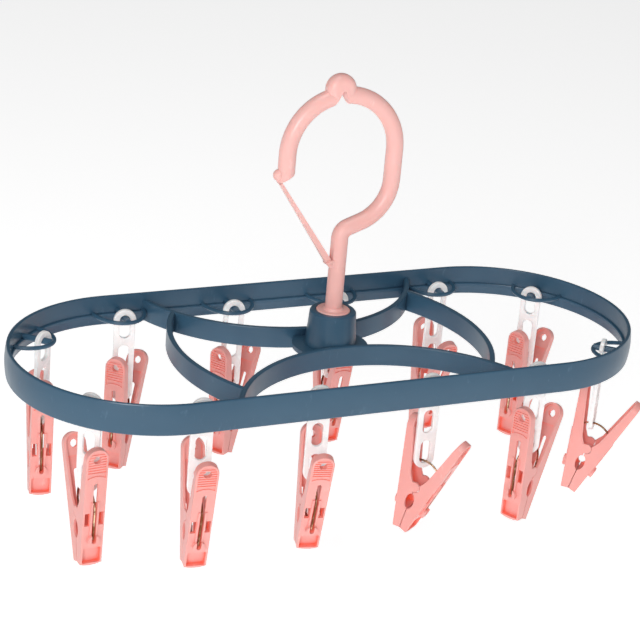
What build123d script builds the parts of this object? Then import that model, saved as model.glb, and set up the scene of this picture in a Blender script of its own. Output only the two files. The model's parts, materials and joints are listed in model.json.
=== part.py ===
from build123d import *
import math
import os

# Clip drying hanger: an oval frame hung from a swivelling ring hook, with twelve
# sprung clips, each on a slotted link that hangs from a loop inside the frame.
#
# Row frame: millimetres, +Z up, +X along the frame's length. The origin is the
# notch in the hook's crown, where the rod or line bears. Parts are drawn about the
# swivel axis at the height of the frame's top edge, then shifted to the row frame.

# Driving dimensions ---------------------------------------------------------
SWIVEL_X = 7.2              # the swivel axis stands this far beside the notch
RIM_TOP_Z = -142.8          # height of the frame's top edge under the notch

FRAME_LENGTH = 380.0
FRAME_WIDTH = 156.0
RIM_HEIGHT = 17.7
RIM_WALL = 2.8
RIM_BULGE = 0.8             # of the outer face over the rim's height
LEDGE_Z = -10.6             # top of the thicker lower part of the wall
LEDGE_DEPTH = 1.4

LONG_BRACE_RADIUS = 92.0
LONG_BRACE_CREST = 15.5     # distance of the crest from the middle
SIDE_BRACE_RADIUS = 103.6
SIDE_BRACE_REACH = 92.0
BRACE_WALL = 3.0
BRACE_TOP = -4.5
BRACE_BOTTOM = -16.9

HUB_TOP = 12.1
HUB_TOP_RADIUS = 13.25
HUB_BASE_RADIUS = 15.5
HUB_RECESS = (10.15, 10.5)  # radius and floor height of the collar's recess
HUB_CAVITY = (7.6, -8.0)    # radius and roof height of the room for the barbs
HUB_DISC_RADIUS = 22.0
HUB_DISC = (-11.6, -9.0)

ROD_RADIUS = 4.9            # the hook's round rod
RUNNING_GAP = 0.08
STEM_TOP = 55.7
NECK_RADIUS = 6.5
NECK_TURN = 70.0
NECK_STRAIGHT = 8.2
THROAT_RADIUS = 26.0
RING_RADIUS = 32.75
RING_CENTRE = (-3.65, 106.75)
TIP_LENGTH = 17.0
CROWN_CENTRE = (-7.6, 143.0)
CROWN_RADIUS = 8.8
NOTCH_HALF_ANGLE = 27.0
COLLAR_RADIUS = 9.75
BARB_RADIUS = 6.2

GATE_PIVOT = (-5.6, 41.3)
GATE_LENGTH = 60.2
GATE_LEAN = 34.4            # of the closed gate from the vertical
GATE_GAP = 0.9
GATE_ROOT = 1.8             # half thickness, and the barrel's radius
GATE_TIP = 0.75
GATE_HALF_WIDTH = 2.1
GATE_PIN_RADIUS = 0.8
CHEEK = 1.2

LOOP_HALF_WIDTH = 15.4
LOOP_REACH = 18.0           # from the inner wall to the loop's rod axis
LOOP_ROD = 1.2
LOOP_Z = -10.4
BAR_RADIUS = 1.9
BAR_Z = -9.8
BAR_FLAT_Z = -11.6
LINK_INSET = 15.1           # the link hangs this far inside the outer face
SIDE_STATIONS = (34.1, 102.6)
CAP_STATION_ANGLE = 42.6

LINK_WIDTH = 12.4
LINK_WALL = 2.5
LINK_RING_RADIUS = 6.6
LINK_RING_Z = -0.9
LINK_SLOT_LENGTH = 14.2
LINK_SLOT_RADIUS = 3.1
LINK_SLOT_TOP = 2.2
LINK_SLOT_PITCH = 18.8
LINK_SLOTS = 3
LINK_END_WALL = 2.9
LINK_EDGE = 0.45

JAW_SLOPE = 12.0            # of each outer face from the clip's middle plane
JAW_HALF_DEPTH = 11.0       # outer face to middle plane at the fulcrum
JAW_HALF_WIDTH = 6.3
JAW_TOP = 39.5              # heights with S are measured up the outer face
JAW_BOTTOM = -31.4
JAW_WALL = 1.3
JAW_PLATE = 1.6
JAW_EDGE = 0.5
HANDLE_DEPTH = 4.1
PARTING = 0.25              # half the gap between the closed jaws
KNUCKLE_RADIUS = 3.0
KNUCKLE_GAP = 0.3
LENS = (2.75, 5.2)
LENS_Z = -9.9
TOOTH_TOP = -17.5
TOOTH_PITCH = 1.3
TOOTH_DEPTH = 0.6
TOOTH_COUNT = 10
CAVITY_LOW = -16.6
CAVITY_HIGH = 26.0
PAD_THICKNESS = 3.0
SLOT_WIDTH = 2.5
SLOT_S = (-16.8, 19.3)
LIP_TOP_S = 8.0
BOSS_S = -15.2
BOSS_RADIUS = 3.4
BOSS_HEIGHT = 2.2
WINDOW = (2.7, 7.9)
WINDOW_AT = (4.05, -2.5)
POCKET = (10.4, 9.4)
POCKET_S = -25.1
POCKET_DEPTH = 3.0
HOLE_RADIUS = 2.2
HOLE_S = 33.2
GRIP_LOW_S = 21.5
GRIP_RIBS = 8
GRIP_PITCH = 1.55
GRIP_RIM = 1.2
GRIP_DEPTH = 0.5

WIRE_RADIUS = 0.6
WIRE_REST = 1.05            # wire axis over the link slot's end, on its middle line
WIRE_BEND = 1.0
BOW_RADIUS = 11.6
BOW_Z = 3.6
BALANCE_Z = 1.0             # a clip's centre of mass

# How each clip hangs, going round from the front left: turn of its link from the
# loop's outward direction, heading of its moving jaw, and its lean, in degrees.
HANGING = [
    (-12, -96.8, 0), (-12, -102.4, 6), (0, -57, 14), (-12, 26, 12),
    (0, -42.6, 15), (0, 27, 12), (0, -88, 6), (0, 90, 0),
    (-12, 32, 9), (-12, 46.5, 12), (-12, 79.4, 12), (12, 94.5, 9),
]

CAP_X = (FRAME_LENGTH - FRAME_WIDTH) / 2
HALF_WIDTH = FRAME_WIDTH / 2


# Frame ----------------------------------------------------------------------
def stadium(inset):
    return SlotCenterToCenter(2 * CAP_X, FRAME_WIDTH - 2 * inset)


def rim_section():
    """The rim's section: x is the distance inside the outer face."""
    bulge, wall, low = RIM_BULGE, RIM_WALL, -RIM_HEIGHT
    thick = wall + LEDGE_DEPTH
    outer = ThreePointArc((bulge, -0.7), (0, low / 2), (bulge, low + 0.6))
    rest = Polyline(
        (bulge, low + 0.6), (bulge + 0.4, low), (wall - 0.2, low), (wall + 0.2, low + 0.4),
        (thick, LEDGE_Z - 1.8), (thick, LEDGE_Z - 0.4), (thick - 0.4, LEDGE_Z),
        (wall, LEDGE_Z), (wall, -0.6), (wall - 0.2, -0.2), (wall - 0.6, 0),
        (bulge + 0.6, 0), (bulge + 0.2, -0.2), (bulge, -0.7),
    )
    return make_face(outer + rest)


def rim():
    section = rim_section()
    front = Plane(origin=(-CAP_X, -HALF_WIDTH, 0), x_dir=(0, 1, 0), z_dir=(1, 0, 0))
    back = Plane(origin=(CAP_X, HALF_WIDTH, 0), x_dir=(0, -1, 0), z_dir=(-1, 0, 0))
    shape = extrude(front * section, 2 * CAP_X)
    shape += extrude(back * section, 2 * CAP_X)
    shape += revolve(front * section, Axis((-CAP_X, 0, 0), (0, 0, -1)), 180)
    shape += revolve(back * section, Axis((CAP_X, 0, 0), (0, 0, -1)), 180)
    return shape


def brace(centre, radius, region):
    """A curved brace on edge: the part of a ring that lies inside region."""
    ring = Circle(radius + BRACE_WALL / 2) - Circle(radius - BRACE_WALL / 2)
    outline = (Pos(*centre) * ring) & region
    wall = extrude(Pos(0, 0, BRACE_BOTTOM) * outline, BRACE_TOP - BRACE_BOTTOM)
    top = wall.faces().sort_by(Axis.Z)[-1]
    bottom = wall.faces().sort_by(Axis.Z)[0]
    return chamfer(top.edges() + bottom.edges(), 0.5)


def braces():
    inside = stadium(RIM_WALL / 2)
    centre_y = LONG_BRACE_CREST + LONG_BRACE_RADIUS
    beside = Pos(0, centre_y) * Circle(LONG_BRACE_RADIUS)
    beside += Pos(0, -centre_y) * Circle(LONG_BRACE_RADIUS)
    centre_x = SIDE_BRACE_RADIUS - SIDE_BRACE_REACH
    shapes = []
    for side in (1, -1):
        shapes.append(brace((0, side * centre_y), LONG_BRACE_RADIUS, inside))
        half = Pos(side * FRAME_LENGTH / 4, 0) * Rectangle(FRAME_LENGTH / 2, FRAME_WIDTH)
        shapes.append(brace((-side * centre_x, 0), SIDE_BRACE_RADIUS, (half & inside) - beside))
    return shapes


def hub():
    """Tapered boss on a thin disc that fills the space between the braces."""
    boss = revolve(Plane.XZ * make_face(Polyline(
        (0, BRACE_BOTTOM), (HUB_BASE_RADIUS, BRACE_BOTTOM), (HUB_TOP_RADIUS + 0.1, HUB_TOP - 1),
        (HUB_TOP_RADIUS - 0.7, HUB_TOP), (0, HUB_TOP), close=True,
    )), Axis.Z)
    disc = Circle(HUB_DISC_RADIUS)
    for side in (1, -1):
        disc -= Pos(0, side * (LONG_BRACE_CREST + LONG_BRACE_RADIUS)) * Circle(LONG_BRACE_RADIUS)
    return boss + extrude(Pos(0, 0, HUB_DISC[0]) * disc, HUB_DISC[1] - HUB_DISC[0])


def hub_hollow():
    """Recess for the hook's collar, bore for its journal, room for its barbs."""
    bore = ROD_RADIUS + RUNNING_GAP
    below = BRACE_BOTTOM - 1
    return revolve(Plane.XZ * make_face(Polyline(
        (0, below), (HUB_CAVITY[0], below), HUB_CAVITY, (bore, HUB_CAVITY[1]),
        (bore, HUB_RECESS[1]), HUB_RECESS, (HUB_RECESS[0], HUB_TOP + 1),
        (0, HUB_TOP + 1), close=True,
    )), Axis.Z)


def loop():
    """A loop and its bar, growing inwards along -X from the rim's outer face."""
    root = -RIM_WALL / 2
    tip = -RIM_WALL - LOOP_REACH
    path = Pos(root, 0, LOOP_Z) * EllipticalCenterArc(
        (0, 0), root - tip, LOOP_HALF_WIDTH, 90, arc_size=180)
    shape = sweep(Plane(origin=path @ 0, z_dir=path % 0) * Circle(LOOP_ROD), path=path)
    bar = Pos(tip, 0, BAR_Z) * Rot(0, 90, 0) * extrude(Circle(BAR_RADIUS), root - tip)
    above = Pos(0, 0, BAR_FLAT_Z) * Box(100, 20, 20, align=(Align.CENTER, Align.CENTER, Align.MIN))
    return shape + (bar & above)


def stations():
    """(x, y, outward direction) of the rim's face at each loop."""
    front = [(x, -HALF_WIDTH, -90) for x in (-SIDE_STATIONS[1], -SIDE_STATIONS[0], *SIDE_STATIONS)]
    back = [(-x, HALF_WIDTH, 90) for x, y, heading in front]

    def on_cap(side, heading):
        a = math.radians(heading)
        return (side * CAP_X + HALF_WIDTH * math.cos(a), HALF_WIDTH * math.sin(a), heading)

    right = [on_cap(1, -CAP_STATION_ANGLE), on_cap(1, CAP_STATION_ANGLE)]
    left = [on_cap(-1, 180 - CAP_STATION_ANGLE), on_cap(-1, CAP_STATION_ANGLE - 180)]
    return front + right + back + left


def frame():
    shape = rim()
    for item in braces():
        shape += item
    shape = shape + hub() - hub_hollow()
    within = extrude(Pos(0, 0, -RIM_HEIGHT) * stadium(RIM_WALL / 2 + RIM_BULGE / 2), RIM_HEIGHT)
    for x, y, heading in stations():
        shape += (Pos(x, y, 0) * Rot(0, 0, heading) * loop()) & within
    return shape


# Hook -----------------------------------------------------------------------
def hook_path():
    """Stem, neck, throat, straight side, ring and tip, in the XZ plane."""
    stem = Line((0, HUB_CAVITY[1]), (0, STEM_TOP))
    neck = JernArc(stem @ 1, (0, 1), NECK_RADIUS, -NECK_TURN)
    rise = Line(neck @ 1, neck @ 1 + NECK_STRAIGHT * (neck % 1))
    throat = JernArc(rise @ 1, rise % 1, THROAT_RADIUS, NECK_TURN)
    side = Line(throat @ 1, (RING_CENTRE[0] + RING_RADIUS, RING_CENTRE[1]))
    ring = JernArc(side @ 1, (0, 1), RING_RADIUS, 180)
    tip = Line(ring @ 1, ring @ 1 - Vector(0, TIP_LENGTH))
    return Plane.XZ * Wire([stem, neck, rise, throat, side, ring, tip])


def crown():
    """Rounded knob on the ring, over the notch that the line rides in."""
    knob = Rot(90, 0, 0) * Cylinder(CROWN_RADIUS, 2 * ROD_RADIUS)
    return Pos(CROWN_CENTRE[0], 0, CROWN_CENTRE[1]) * fillet(knob.edges(), 4.2)


def notch():
    """Wedge under the crown: its apex is the seat, at the row frame's origin."""
    depth = 12.8
    half = depth * math.tan(math.radians(NOTCH_HALF_ANGLE))
    seat = (-SWIVEL_X, -RIM_TOP_Z)
    wedge = make_face(Polyline(
        (-0.9, 0), (0.9, 0), (half, -depth), (-half, -depth), close=True))
    return extrude(Plane.XZ * (Pos(*seat) * wedge), 20, both=True)


def hook_foot():
    """Collar over the hub's recess and the split barbed end under its bore."""
    low = HUB_CAVITY[1] - 0.3
    collar = HUB_RECESS[1] + 0.3
    return revolve(Plane.XZ * make_face(Polyline(
        (0, low - 4.2), (ROD_RADIUS - 0.3, low - 4.2), (BARB_RADIUS, low - 0.8),
        (BARB_RADIUS, low), (ROD_RADIUS, low), (ROD_RADIUS, collar), (COLLAR_RADIUS, collar),
        (COLLAR_RADIUS, collar + 1.3), (COLLAR_RADIUS - 0.5, collar + 1.8),
        (ROD_RADIUS + 1.2, collar + 1.8), (ROD_RADIUS, collar + 3), (0, collar + 3), close=True,
    )), Axis.Z)


def gate_cheeks():
    """Two small lugs on the stem that carry the gate's pins."""
    x, z = GATE_PIVOT
    width = 2 * (GATE_HALF_WIDTH + 0.3 + CHEEK)
    radius = GATE_ROOT + 0.2
    block = Pos(x, 0, z) * Rot(90, 0, 0) * Cylinder(radius, width)
    return block + Pos(x / 2, 0, z) * Box(-x, width, 2 * radius)


def gate_pocket():
    x, z = GATE_PIVOT
    place = Pos(x, 0, z) * Rot(90, 0, 0)
    width = 2 * (GATE_HALF_WIDTH + 0.3)
    room = place * Cylinder(GATE_ROOT + 0.4, width)
    room += Pos(x - 0.2, 0, z + 4) * Box(2 * GATE_ROOT + 0.4, width, 8)
    return room + place * Cylinder(GATE_PIN_RADIUS + RUNNING_GAP, 20)


def hook():
    path = hook_path()
    shape = sweep(Plane(origin=path @ 0, z_dir=path % 0) * Circle(ROD_RADIUS), path=path)
    tip_x = RING_CENTRE[0] - RING_RADIUS
    shape += Pos(tip_x - 4.2, 0, RING_CENTRE[1] - 11.4) * Sphere(3.4)
    swept = Pos(GATE_PIVOT[0], 0, GATE_PIVOT[1]) * Rot(90, 0, 0)
    swept = swept * Cylinder(GATE_LENGTH + GATE_GAP, 40)
    shape -= swept & (Pos(tip_x - 2, 0, 85) * Box(26, 40, 34))
    shape = shape + crown() - notch() + hook_foot()
    shape = shape + gate_cheeks() - gate_pocket()
    return shape - Pos(0, 0, HUB_CAVITY[1]) * Box(1.6, 20, 20)


def hook_gate():
    """Thin tongue from the stem to the hook's tip, drawn upright, then leaned."""
    side = make_face(Polyline(
        (-GATE_ROOT, 0), (-GATE_TIP, GATE_LENGTH - 0.4), (0, GATE_LENGTH),
        (GATE_TIP, GATE_LENGTH - 0.4), (GATE_ROOT, 0), close=True,
    ))
    blade = extrude(Plane.XZ * side, GATE_HALF_WIDTH, both=True)
    barrel = Rot(90, 0, 0) * Cylinder(GATE_ROOT, 2 * GATE_HALF_WIDTH)
    pins = Rot(90, 0, 0) * Cylinder(GATE_PIN_RADIUS, 2 * (GATE_HALF_WIDTH + CHEEK))
    return Pos(GATE_PIVOT[0], 0, GATE_PIVOT[1]) * Rot(0, -GATE_LEAN, 0) * (blade + barrel + pins)


# Link -----------------------------------------------------------------------
def link_slot_end():
    """Height of the last slot's lower end under the bar's axis."""
    return LINK_SLOT_TOP - LINK_SLOT_LENGTH - (LINK_SLOTS - 1) * LINK_SLOT_PITCH


def link():
    """Slotted strap hanging from the bar's axis, its faces towards +X and -X."""
    low = link_slot_end() - LINK_END_WALL
    half = LINK_WIDTH / 2
    top = LINK_RING_Z
    outline = Pos(0, top) * Circle(LINK_RING_RADIUS)
    outline += Pos(0, (top + low + half) / 2) * Rectangle(LINK_WIDTH, top - low - half)
    outline += Pos(0, low + half) * Circle(half)
    for k in range(LINK_SLOTS):
        centre = LINK_SLOT_TOP - LINK_SLOT_LENGTH / 2 - k * LINK_SLOT_PITCH
        outline -= Pos(0, centre) * SlotOverall(LINK_SLOT_LENGTH, 2 * LINK_SLOT_RADIUS, rotation=90)
    shape = extrude(Plane.YZ * outline, LINK_WALL / 2, both=True)
    faces = shape.faces().sort_by(Axis.X)
    return fillet(faces[0].edges() + faces[-1].edges(), LINK_EDGE)


# Clip -----------------------------------------------------------------------
def on_face(s):
    """(x, z) of the point a distance s up the outer face from the fulcrum's height."""
    a = math.radians(JAW_SLOPE)
    return (JAW_HALF_DEPTH + s * math.sin(a), s * math.cos(a))


def face_plane(depth):
    """Plane sunk under the outer face: x across the jaw, y up the face."""
    a = math.radians(JAW_SLOPE)
    outward = Vector(math.cos(a), 0, -math.sin(a))
    return Plane(origin=Vector(JAW_HALF_DEPTH, 0, 0) - outward * depth, x_dir=(0, 1, 0),
                 z_dir=outward)


def side_profile(bite):
    """The jaw from the side: teeth, parting line, fulcrum, web and handle."""
    a = math.radians(JAW_SLOPE)
    top = on_face(JAW_TOP)
    teeth = [(PARTING + bite * TOOTH_DEPTH / 2, TOOTH_TOP)]
    for k in range(TOOTH_COUNT):
        z = TOOTH_TOP - k * TOOTH_PITCH
        teeth.append((PARTING - bite * TOOTH_DEPTH / 2, z - TOOTH_PITCH / 2))
        teeth.append((PARTING + bite * TOOTH_DEPTH / 2, z - TOOTH_PITCH))
    inner_top = (top[0] - HANDLE_DEPTH * math.cos(a), top[1] + HANDLE_DEPTH * math.sin(a))
    return make_face(Polyline(
        on_face(JAW_BOTTOM), top, inner_top, (7.9, 15), (5.5, 7), (2.6, 2.4), (PARTING, 2.4),
        (PARTING, TOOTH_TOP + 0.4), *teeth, (PARTING + 0.3, on_face(JAW_BOTTOM)[1]), close=True,
    ))


def face_outline():
    """The jaw from outside: round-topped, with a slightly bowed lower end."""
    bow = 20.0
    half = JAW_HALF_WIDTH
    low = JAW_BOTTOM
    shape = Pos(0, (low + JAW_TOP - half) / 2) * Rectangle(2 * half, JAW_TOP - half - low)
    shape += Pos(0, JAW_TOP - half) * Circle(half)
    keep = Pos(0, low + bow) * Circle(bow)
    keep += Pos(0, low + bow + 45) * Rectangle(4 * half, 90)
    return shape & keep


def pad_outline(rim_width, low):
    """Round-topped panel inside the thumb pad's outline."""
    half = JAW_HALF_WIDTH - rim_width
    centre = JAW_TOP - JAW_HALF_WIDTH
    panel = Pos(0, (low + centre) / 2) * Rectangle(2 * half, centre - low)
    return panel + Pos(0, centre) * Circle(half)


def jaw_cavity():
    """Channel behind the outer plate, shallower behind the thumb pad."""
    low = CAVITY_LOW / math.cos(math.radians(JAW_SLOPE))
    high = CAVITY_HIGH / math.cos(math.radians(JAW_SLOPE))
    width = 2 * (JAW_HALF_WIDTH - JAW_WALL)
    channel = Pos(0, (low + high) / 2) * Rectangle(width, high - low)
    deep = extrude(face_plane(JAW_PLATE) * channel, -30)
    return deep + extrude(face_plane(PAD_THICKNESS) * pad_outline(JAW_WALL, high - 1), -30)


def wire_slot(extra):
    low, high = SLOT_S
    outline = SlotOverall(high - low + 2 * extra, SLOT_WIDTH + 2 * extra, rotation=90)
    return Pos(0, (low + high) / 2) * outline


def grip():
    """Shallow panel with cross ribs left standing in it."""
    panel = pad_outline(GRIP_RIM, GRIP_LOW_S) - Pos(0, GRIP_LOW_S - 8) * Circle(10)
    for k in range(GRIP_RIBS):
        panel -= Pos(0, JAW_TOP - 3.4 - k * GRIP_PITCH) * Rectangle(4 * JAW_HALF_WIDTH, 0.7)
    return extrude(face_plane(GRIP_DEPTH) * panel, 5)


def jaw_openings():
    """Everything cut through or into the outer face."""
    through = wire_slot(0) + Pos(0, HOLE_S) * Circle(HOLE_RADIUS)
    for side in (1, -1):
        through += Pos(side * WINDOW_AT[0], WINDOW_AT[1]) * Rectangle(*WINDOW)
    pocket = Pos(0, POCKET_S) * RectangleRounded(*POCKET, 0.8)
    cut = extrude(face_plane(PAD_THICKNESS + 1) * through, 20)
    return cut + extrude(face_plane(POCKET_DEPTH) * pocket, 20) + grip()


def jaw(bite):
    """One jaw on the +X side of the clip, without its part of the fulcrum."""
    body = extrude(Plane.XZ * side_profile(bite), JAW_HALF_WIDTH, both=True)
    body &= extrude(face_plane(30) * face_outline(), 40)
    outer = body.faces().sort_by(lambda f: face_plane(0).to_local_coords(f.center()).Z)[-1]
    body = fillet(outer.edges(), JAW_EDGE)
    body -= jaw_cavity()
    body -= Pos(0, 0, LENS_Z) * Rot(90, 0, 0) * extrude(Ellipse(*LENS), 20, both=True)
    collar = wire_slot(1.1) & (Pos(0, LIP_TOP_S - 20) * Rectangle(10, 40))
    body += extrude(face_plane(0.2) * collar, 1.0)
    body += extrude(face_plane(0.2) * (Pos(0, BOSS_S) * Circle(BOSS_RADIUS)), BOSS_HEIGHT + 0.2)
    return body - jaw_openings()


def side_walls():
    wall = Box(60, JAW_WALL, 100)
    offset = JAW_HALF_WIDTH - JAW_WALL / 2
    return Pos(0, offset, 0) * wall + Pos(0, -offset, 0) * wall


def jaw_b():
    """The jaw that moves: its walls are cradles for the other jaw's knuckles."""
    return jaw(1) - Rot(90, 0, 0) * Cylinder(KNUCKLE_RADIUS + KNUCKLE_GAP, 30)


def jaw_a():
    """The jaw that stays with the wire, with the two knuckles of the fulcrum."""
    knuckle = Rot(90, 0, 0) * Cylinder(KNUCKLE_RADIUS, 2 * JAW_HALF_WIDTH)
    return mirror(jaw(-1), about=Plane.YZ) + (knuckle & side_walls())


def spring():
    """Wire bow over the fulcrum, a leg down each slot, its ends in the bosses."""
    a = math.radians(JAW_SLOPE)
    face = on_face(BOSS_S)
    elbow = Vector(face[0] + 0.3 * math.cos(a), face[1] - 0.3 * math.sin(a))
    end = elbow + Vector(-2.5 * math.cos(a), 2.5 * math.sin(a))
    reach = elbow - Vector(0, BOW_Z)
    heading = math.atan2(reach.Y, reach.X) + math.acos(BOW_RADIUS / reach.length)
    touch = Vector(BOW_RADIUS * math.cos(heading), BOW_Z + BOW_RADIUS * math.sin(heading))
    leg = FilletPolyline(end, elbow, touch, radius=WIRE_BEND)
    start = math.degrees(heading)
    bow = CenterArc((0, BOW_Z), BOW_RADIUS, start, 180 - 2 * start)
    path = Plane.XZ * Wire([*leg.edges(), *bow.edges(), *mirror(leg, about=Plane.YZ).edges()])
    return sweep(Plane(origin=path @ 0, z_dir=path % 0) * Circle(WIRE_RADIUS), path=path)


# Placing --------------------------------------------------------------------
def contact_angle(lean):
    """Where on the bow the link bears when the clip hangs with this lean."""
    low, high = 0.0, 60.0
    for _ in range(40):
        a = math.radians((low + high) / 2)
        x = BOW_RADIUS * math.sin(a)
        z = BOW_Z - BALANCE_Z + BOW_RADIUS * math.cos(a)
        if math.degrees(math.atan2(x, z)) < lean:
            low = (low + high) / 2
        else:
            high = (low + high) / 2
    return math.radians(low)


def wire_height(turn):
    """Wire axis below the bar's axis, for a clip turned this far from its link."""
    a = abs(math.radians((turn + 90) % 180 - 90))
    half = LINK_WALL / 2 * math.tan(a) + WIRE_RADIUS / math.cos(a)
    rise = LINK_SLOT_RADIUS - math.sqrt(LINK_SLOT_RADIUS ** 2 - half ** 2)
    return link_slot_end() + WIRE_REST + rise


def hanging(station, turn, heading, lean):
    """Bar point, link placement, contact point and clip placement of one clip."""
    x, y, outward = station
    a = math.radians(outward)
    bar = Vector(x - LINK_INSET * math.cos(a), y - LINK_INSET * math.sin(a), BAR_Z)
    contact = bar + Vector(0, 0, wire_height(heading - outward - turn))
    alpha = contact_angle(lean)
    bearing = (-BOW_RADIUS * math.sin(alpha), 0, BOW_Z + BOW_RADIUS * math.cos(alpha))
    place = Pos(*contact) * Rot(0, 0, heading) * Rot(0, lean, 0) * Pos(*bearing).inverse()
    return bar, Pos(*bar) * Rot(0, 0, outward + turn), contact, place


def in_row(point):
    moved = Pos(SWIVEL_X, 0, RIM_TOP_Z) * Pos(*point)
    return [round(value / 1000, 6) for value in moved.position]


def save(name, shape):
    export_step(Pos(SWIVEL_X, 0, RIM_TOP_Z) * shape, f"parts/{name}.step")


if __name__ == "__main__":
    os.makedirs("parts", exist_ok=True)
    save("frame", frame())
    save("hook", hook())
    save("hook_gate", hook_gate())
    print("swivel", in_row((0, 0, 0)), "gate", in_row((GATE_PIVOT[0], 0, GATE_PIVOT[1])))
    pieces = {"clip_jaw_a": jaw_a(), "clip_jaw_b": jaw_b(), "clip_spring": spring()}
    strap = link()
    for number, (station, pose) in enumerate(zip(stations(), HANGING), 1):
        bar, link_place, contact, clip_place = hanging(station, *pose)
        save(f"link_{number:02d}", link_place * strap)
        for name, piece in pieces.items():
            save(f"{name}_{number:02d}", clip_place * piece)
        print("clip", number, "outward", station[2], "heading", pose[1], "lean", pose[2],
              "bar", in_row(bar), "contact", in_row(contact), "pivot", in_row(clip_place.position))
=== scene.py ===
import json
import math

import bpy
from mathutils import Matrix, Vector


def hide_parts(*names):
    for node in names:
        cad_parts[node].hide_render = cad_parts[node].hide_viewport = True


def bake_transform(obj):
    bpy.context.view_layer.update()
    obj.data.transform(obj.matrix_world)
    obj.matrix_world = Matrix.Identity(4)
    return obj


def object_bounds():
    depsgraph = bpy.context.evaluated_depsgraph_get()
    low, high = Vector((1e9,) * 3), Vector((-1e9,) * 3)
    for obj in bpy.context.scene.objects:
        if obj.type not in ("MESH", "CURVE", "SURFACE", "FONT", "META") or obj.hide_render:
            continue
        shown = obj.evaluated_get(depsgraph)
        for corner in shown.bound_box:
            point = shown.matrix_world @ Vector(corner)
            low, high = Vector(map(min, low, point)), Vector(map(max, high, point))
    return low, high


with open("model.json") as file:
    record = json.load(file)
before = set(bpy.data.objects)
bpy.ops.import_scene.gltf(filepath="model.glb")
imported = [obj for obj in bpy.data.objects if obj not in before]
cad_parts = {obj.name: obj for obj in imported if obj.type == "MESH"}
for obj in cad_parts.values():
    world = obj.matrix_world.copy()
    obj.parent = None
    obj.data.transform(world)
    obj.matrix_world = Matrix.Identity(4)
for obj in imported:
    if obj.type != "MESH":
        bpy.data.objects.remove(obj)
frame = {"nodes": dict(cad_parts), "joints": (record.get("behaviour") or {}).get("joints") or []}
cad_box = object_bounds()


# Studio ---------------------------------------------------------------------
# The hanger is shown hanging in front of a plain pale sweep, lit by a large soft
# light over the front left, a smaller one above, a weak one at the right and a pale
# surrounding, which is seen whiter than it lights.
CAMERA_PLACE = Vector((-0.4796, -0.97465, 0.3048))
CAMERA_YAW = -0.456859
CAMERA_PITCH = 0.386052
CAMERA_ROLL = 0.089756
CAMERA_LENS = 115.39
FLOOR_Z = cad_box[0][2] - 0.09
FLOOR_GLOW = 0.62
SURROUND_LIGHT = 0.17               # strength for light; the camera sees 1.0

backward = Vector((
    math.sin(CAMERA_YAW) * math.cos(CAMERA_PITCH),
    -math.cos(CAMERA_YAW) * math.cos(CAMERA_PITCH),
    math.sin(CAMERA_PITCH),
))
level = (-backward).cross(Vector((0, 0, 1))).normalized()
upward = level.cross(-backward)
right = level * math.cos(CAMERA_ROLL) + upward * math.sin(CAMERA_ROLL)
above = upward * math.cos(CAMERA_ROLL) - level * math.sin(CAMERA_ROLL)
camera_data = bpy.data.cameras.new("camera")
camera_data.sensor_width = 36.0
camera_data.lens = CAMERA_LENS
camera_data.clip_end = 20.0
camera = bpy.data.objects.new("camera", camera_data)
bpy.context.scene.collection.objects.link(camera)
camera.matrix_world = Matrix.Translation(CAMERA_PLACE) @ Matrix(
    (right, above, backward)
).transposed().to_4x4()
bpy.context.scene.camera = camera


def add_light(name, place, size, power, aim=(0, 0, -0.15)):
    data = bpy.data.lights.new(name, "AREA")
    data.shape = "DISK"
    data.size = size
    data.energy = power
    light = bpy.data.objects.new(name, data)
    bpy.context.scene.collection.objects.link(light)
    light.location = place
    light.rotation_euler = (Vector(aim) - Vector(place)).to_track_quat("-Z", "Y").to_euler()


add_light("key_light", (-1.1, -1.5, 0.55), 0.8, 19)
add_light("top_light", (-0.3, -0.3, 1.6), 0.7, 8)
add_light("fill_light", (1.4, -1.0, 0.3), 1.0, 2.5)

world = bpy.data.worlds.new("surround")
world.use_nodes = True
seen = world.node_tree.nodes.new("ShaderNodeLightPath")
share = world.node_tree.nodes.new("ShaderNodeMapRange")
share.inputs["To Min"].default_value = SURROUND_LIGHT
share.inputs["To Max"].default_value = 1.0
world.node_tree.links.new(seen.outputs["Is Camera Ray"], share.inputs["Value"])
world.node_tree.nodes["Background"].inputs["Color"].default_value = (1.0, 1.0, 1.0, 1.0)
world.node_tree.links.new(
    share.outputs["Result"], world.node_tree.nodes["Background"].inputs["Strength"])
bpy.context.scene.world = world
bpy.context.scene.view_settings.view_transform = "Standard"

bpy.ops.object.select_all(action="DESELECT")
bpy.ops.mesh.primitive_plane_add(size=12, location=(0, 0, FLOOR_Z))
floor = bpy.context.object
floor.name = "floor"
floor_finish = bpy.data.materials.new("pale_floor")
floor_finish.use_nodes = True
floor_shader = floor_finish.node_tree.nodes["Principled BSDF"]
floor_shader.inputs["Base Color"].default_value = (0.93, 0.93, 0.93, 1.0)
floor_shader.inputs["Roughness"].default_value = 0.9
floor_shader.inputs["Emission Color"].default_value = (1.0, 1.0, 1.0, 1.0)
floor_shader.inputs["Emission Strength"].default_value = FLOOR_GLOW
floor.data.materials.append(floor_finish)


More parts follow.
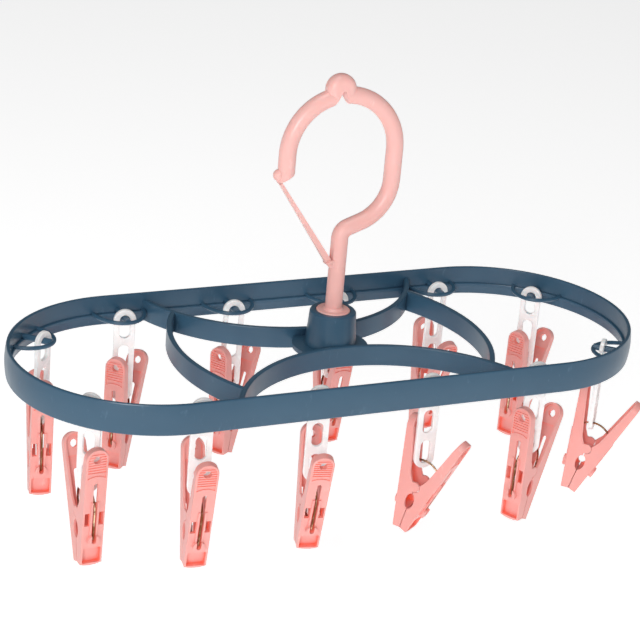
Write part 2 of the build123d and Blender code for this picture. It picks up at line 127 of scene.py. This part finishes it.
# Oval frame -----------------------------------------------------------------
# One slate-blue polypropylene moulding: the flanged rim, the four thin braces, the
# hub and the twelve loops. Satin from the polished tool, with faint flow marks,
# a fine grain on the skin, a few paler scuffs and painted shade in its hollows.
class Value:
    """A socket in a material. Python's signs add Math nodes; add() brings any other node."""

    def __init__(self, tree, socket=None):
        self.tree = tree
        self.socket = socket

    def add(self, kind, settings, inputs, output=0):
        node = self.tree.nodes.new(kind)
        for name, setting in settings.items():
            setattr(node, name, setting)
        for name, value in inputs.items():
            if isinstance(value, Value):
                self.tree.links.new(value.socket, node.inputs[name])
            else:
                node.inputs[name].default_value = value
        return Value(self.tree, node.outputs[output])

    def maths(self, operation, first, second):
        return self.add("ShaderNodeMath", {"operation": operation}, {0: first, 1: second})

    def __add__(self, other):
        return self.maths("ADD", self, other)

    def __sub__(self, other):
        return self.maths("SUBTRACT", self, other)

    def __mul__(self, other):
        return self.maths("MULTIPLY", self, other)


def noise(at, scale, detail=2.0, roughness=0.5):
    return at.add("ShaderNodeTexNoise", {}, {
        "Vector": at, "Scale": scale, "Detail": detail, "Roughness": roughness})


def blend_colours(factor, first, second):
    return factor.add("ShaderNodeMix", {"data_type": "RGBA"}, {0: factor, 6: first, 7: second}, 2)


def soft_step(value, low, high):
    return value.add("ShaderNodeMapRange", {"interpolation_type": "SMOOTHSTEP"}, {
        "Value": value, "From Min": low, "From Max": high})


def moulded_plastic(name, colours, roughness, glow, glow_scale, reach, painted_glow_colour=(0.0, 0.0, 0.0)):
    """Satin polypropylene: flow-mark tone, painted shade in hollows (a deeper colour where ambient
    occlusion is low), skin grain, scuffs.

    The last argument is a painted glow colour, emitted in the hollows to stand in for the light that
    thin walls let through."""
    painted_hollow_shade, dark, plain, pale = [(*colour, 1.0) for colour in colours]
    finish = bpy.data.materials.new(name)
    finish.use_nodes = True
    tree = finish.node_tree
    shader = tree.nodes["Principled BSDF"]
    at = Value(tree).add("ShaderNodeTexCoord", {}, {}, 3)
    flow = noise(at, 22.0, 3.0)
    skin = noise(at, 1400.0, 2.0)
    ripple = noise(at, 180.0, 2.0)
    scuffs = soft_step(noise(at.add("ShaderNodeMapping", {}, {
        "Vector": at, "Scale": (1.0, 1.0, 0.35)}), 260.0, 4.0, 0.65), 0.62, 0.74)
    # Ambient occlusion within reach: low in hollows, where the painted shade and painted glow go.
    open_air = at.add("ShaderNodeAmbientOcclusion", {"samples": 8, "only_local": True},
                      {"Distance": reach}, 1)
    tone = blend_colours(soft_step(flow, 0.3, 0.7), dark, plain)
    # Painted shade: the first, deepest colour is painted into hollows and crevices where occlusion is
    # low.
    tone_with_painted_shade = blend_colours(soft_step(open_air, 0.1, 0.6), painted_hollow_shade, tone)
    # Base colour: real paler scuffs laid over the flow-mark tone and its painted hollow shade.
    scuffs_over_painted_shade = blend_colours(scuffs * 0.35, tone_with_painted_shade, pale)
    rough = (ripple - 0.5) * 0.12 + scuffs * 0.1 + roughness
    height = skin * 0.35 + ripple * 0.65
    normal = at.add("ShaderNodeBump", {}, {"Strength": 0.35, "Distance": 0.00006, "Height": height})
    # Painted glow: emission in the hollows, where occlusion is low, stands in for light let through
    # thin walls.
    hollow_painted_glow = blend_colours(soft_step(open_air, 0.1, 0.7), (*painted_glow_colour, 1.0), (0.0, 0.0, 0.0, 1.0))
    tree.links.new(scuffs_over_painted_shade.socket, shader.inputs["Base Color"])
    tree.links.new(hollow_painted_glow.socket, shader.inputs["Emission Color"])
    shader.inputs["Emission Strength"].default_value = 1.0
    tree.links.new(rough.socket, shader.inputs["Roughness"])
    tree.links.new(normal.socket, shader.inputs["Normal"])
    shader.inputs["Specular IOR Level"].default_value = 0.5
    shader.inputs["Subsurface Weight"].default_value = glow
    shader.inputs["Subsurface Radius"].default_value = (1.0, 0.35, 0.25)
    shader.inputs["Subsurface Scale"].default_value = glow_scale
    return finish


def dress(node, finish):
    """Gives a piece carried over from the CAD its finish."""
    part = frame["nodes"][node]
    part.data.materials.clear()
    part.data.materials.append(finish)


# The first colour is painted shade for the hollows; the others are the plastic's own tones and paler
# scuffs.
BLUE = ((0.010, 0.028, 0.058), (0.031, 0.088, 0.148), (0.036, 0.099, 0.163), (0.095, 0.180, 0.265))
blue_plastic = moulded_plastic("blue_polypropylene", BLUE, 0.33, 0.0, 0.001, 0.020)
dress("frame", blue_plastic)


# Swivel hook and its gate -----------------------------------------------------
# A pale pink moulded ring hook with a notched crown. Its split barbed foot snaps
# down through the hub and turns there; the thin gate springs shut on the tip.
# The first colour is painted shade for the hook's hollows and crevices.
HOOK_PINK = (
    (0.800, 0.300, 0.260), (0.880, 0.480, 0.440), (0.900, 0.510, 0.470), (0.960, 0.700, 0.660),
)
hook_plastic = moulded_plastic("pale_pink_polypropylene", HOOK_PINK, 0.34, 0.2, 0.002, 0.006)
dress("hook", hook_plastic)
dress("hook_gate", hook_plastic)


# Slotted links ----------------------------------------------------------------
# Twelve flexible straps of natural, uncoloured polypropylene: milky, a little
# see-through and shinier than the rest. The top slot is threaded over a loop's bar.
STATIONS = [f"{number:02d}" for number in range(1, 13)]


def milky_plastic():
    finish = bpy.data.materials.new("natural_polypropylene")
    finish.use_nodes = True
    tree = finish.node_tree
    shader = tree.nodes["Principled BSDF"]
    at = Value(tree).add("ShaderNodeTexCoord", {}, {}, 3)
    cloud = noise(at, 90.0, 3.0)
    ripple = noise(at, 300.0, 2.0)
    milk = blend_colours(soft_step(cloud, 0.25, 0.75), (0.95, 0.91, 0.90, 1), (0.99, 0.975, 0.965, 1))
    rough = (ripple - 0.5) * 0.12 + 0.26
    clear = soft_step(cloud, 0.2, 0.8) * 0.08 + 0.9
    normal = at.add("ShaderNodeBump", {}, {"Strength": 0.3, "Distance": 0.00008, "Height": ripple})
    tree.links.new(milk.socket, shader.inputs["Base Color"])
    tree.links.new(rough.socket, shader.inputs["Roughness"])
    tree.links.new(clear.socket, shader.inputs["Alpha"])
    tree.links.new(normal.socket, shader.inputs["Normal"])
    shader.inputs["Subsurface Weight"].default_value = 0.5
    shader.inputs["Subsurface Radius"].default_value = (1.0, 0.8, 0.75)
    shader.inputs["Subsurface Scale"].default_value = 0.002
    # A faint even emission is a painted glow that whitens the straps.
    shader.inputs["Emission Color"].default_value = (1.0, 0.97, 0.96, 1.0)
    shader.inputs["Emission Strength"].default_value = 0.05
    shader.inputs["Specular IOR Level"].default_value = 0.6
    return finish


link_plastic = milky_plastic()
for station in STATIONS:
    dress("link_" + station, link_plastic)


# Clip jaws --------------------------------------------------------------------
# Two salmon-pink mouldings to a clip, rocking on the round knuckles between them.
# Painted shade in a deeper red and a painted warm glow fill the hollows and windows,
# standing in for the light that the thin walls let in.
# The first colour is painted shade, a deep red for the hollows and windows.
CLIP_PINK = (
    (0.640, 0.090, 0.050), (0.850, 0.360, 0.325), (0.880, 0.395, 0.360), (0.950, 0.640, 0.600),
)
# The last colour is a painted warm glow, emitted in the hollows and windows.
clip_plastic = moulded_plastic(
    "salmon_polypropylene", CLIP_PINK, 0.36, 0.2, 0.0012, 0.012, painted_glow_colour=(0.32, 0.035, 0.012))
for station in STATIONS:
    dress("clip_jaw_a_" + station, clip_plastic)
    dress("clip_jaw_b_" + station, clip_plastic)


# Clip springs -----------------------------------------------------------------
# One bowed wire to a clip, 1.2 mm thick, brassed and browned in the drawing. Its
# ends sit in the jaws' bosses and its legs lie in their slots. The real bow bends when
# the handles are pressed; here each wire is one fixed shape, set at its clip's hinge
# and leaned by the station's angle.
WIRE_RADIUS = 0.0006
WIRE_SIDES = 14
WIRE_BEND = 0.001
BOW_RADIUS = 0.0116
BOW_Z = 0.0036
LEG_TOUCH = math.radians(-11.28)    # where the straight leg leaves the bow
LEG_LENGTH = 0.0158
END_LENGTH = 0.0018
BOW_STEPS = 26
BEND_STEPS = 6
LEANS = (0, 6, 14, 12, 15, 12, 6, 0, 9, 12, 12, 9)     # degrees, station by station


def spring_wire():
    """Half the wire from the bow's top down to its end, then its mirror image."""
    top = (0, 0, BOW_Z + BOW_RADIUS)
    bpy.ops.object.select_all(action="DESELECT")
    bpy.ops.mesh.primitive_circle_add(
        vertices=WIRE_SIDES, radius=WIRE_RADIUS, location=top, rotation=(0, math.pi / 2, 0))
    wire = bpy.context.object
    bpy.ops.object.transform_apply(location=True, rotation=True, scale=True)
    bpy.ops.object.mode_set(mode="EDIT")
    bpy.ops.mesh.select_all(action="SELECT")
    bow_angle = math.pi / 2 - LEG_TOUCH
    bpy.ops.mesh.spin(steps=BOW_STEPS, angle=-bow_angle, center=(0, 0, BOW_Z), axis=(0, 1, 0))
    along = Vector((math.sin(LEG_TOUCH), 0, -math.cos(LEG_TOUCH)))
    bpy.ops.mesh.extrude_region_move(TRANSFORM_OT_translate={"value": along * LEG_LENGTH})
    touch = Vector((math.cos(LEG_TOUCH), 0, math.sin(LEG_TOUCH))) * BOW_RADIUS
    foot = touch + Vector((0, 0, BOW_Z)) + along * LEG_LENGTH
    inward = Vector((-math.cos(LEG_TOUCH), 0, -math.sin(LEG_TOUCH)))
    bend = foot + inward * WIRE_BEND
    bpy.ops.mesh.spin(steps=BEND_STEPS, angle=-math.pi / 2, center=bend, axis=(0, 1, 0))
    bpy.ops.mesh.extrude_region_move(TRANSFORM_OT_translate={"value": inward * END_LENGTH})
    bpy.ops.mesh.edge_face_add()
    bpy.ops.object.mode_set(mode="OBJECT")
    both = wire.modifiers.new("other_half", "MIRROR")
    both.use_axis = (True, False, False)
    both.use_mirror_merge = True
    both.merge_threshold = 0.00005
    bpy.ops.object.modifier_apply(modifier=both.name)
    bpy.ops.object.mode_set(mode="EDIT")
    bpy.ops.mesh.select_all(action="SELECT")
    bpy.ops.mesh.remove_doubles(threshold=0.00001)
    bpy.ops.mesh.normals_make_consistent(inside=False)
    bpy.ops.object.mode_set(mode="OBJECT")
    bpy.ops.object.shade_smooth_by_angle(angle=math.radians(50))
    return wire


def browned_brass():
    finish = bpy.data.materials.new("browned_brass_wire")
    finish.use_nodes = True
    tree = finish.node_tree
    shader = tree.nodes["Principled BSDF"]
    at = Value(tree).add("ShaderNodeTexCoord", {}, {}, 3)
    stain = soft_step(noise(at, 140.0, 4.0, 0.6), 0.36, 0.54)
    drawn = noise(at.add("ShaderNodeMapping", {}, {"Vector": at, "Scale": (1, 1, 0.08)}), 2600.0)
    metal = blend_colours(stain, (0.80, 0.62, 0.42, 1), (0.22, 0.09, 0.04, 1))
    tree.links.new(metal.socket, shader.inputs["Base Color"])
    tree.links.new((stain * 0.16 + 0.2).socket, shader.inputs["Roughness"])
    normal = at.add("ShaderNodeBump", {}, {"Strength": 0.3, "Distance": 0.00003, "Height": drawn})
    tree.links.new(normal.socket, shader.inputs["Normal"])
    shader.inputs["Metallic"].default_value = 1.0
    return finish


brass = browned_brass()
first_wire = spring_wire()
first_wire.data.materials.append(brass)
joints = {joint["name"]: joint for joint in frame["joints"]}
for station, lean in zip(STATIONS, LEANS):
    hinge = joints["jaw_open_" + station]
    pivot = Vector(hinge["pos_m"])
    side = -Vector(hinge["axis"])
    across = side.cross(Vector((0, 0, 1)))
    wire = first_wire.copy()
    wire.data = first_wire.data.copy()
    bpy.context.scene.collection.objects.link(wire)
    wire.name = "spring_wire_" + station
    wire.data.transform(Matrix((across, side, (0, 0, 1))).transposed().to_4x4()
                        @ Matrix.Rotation(math.radians(lean), 4, "Y"))
    wire.data.transform(Matrix.Translation(pivot))
    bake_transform(wire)
    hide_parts("clip_spring_" + station)
bpy.data.objects.remove(first_wire)
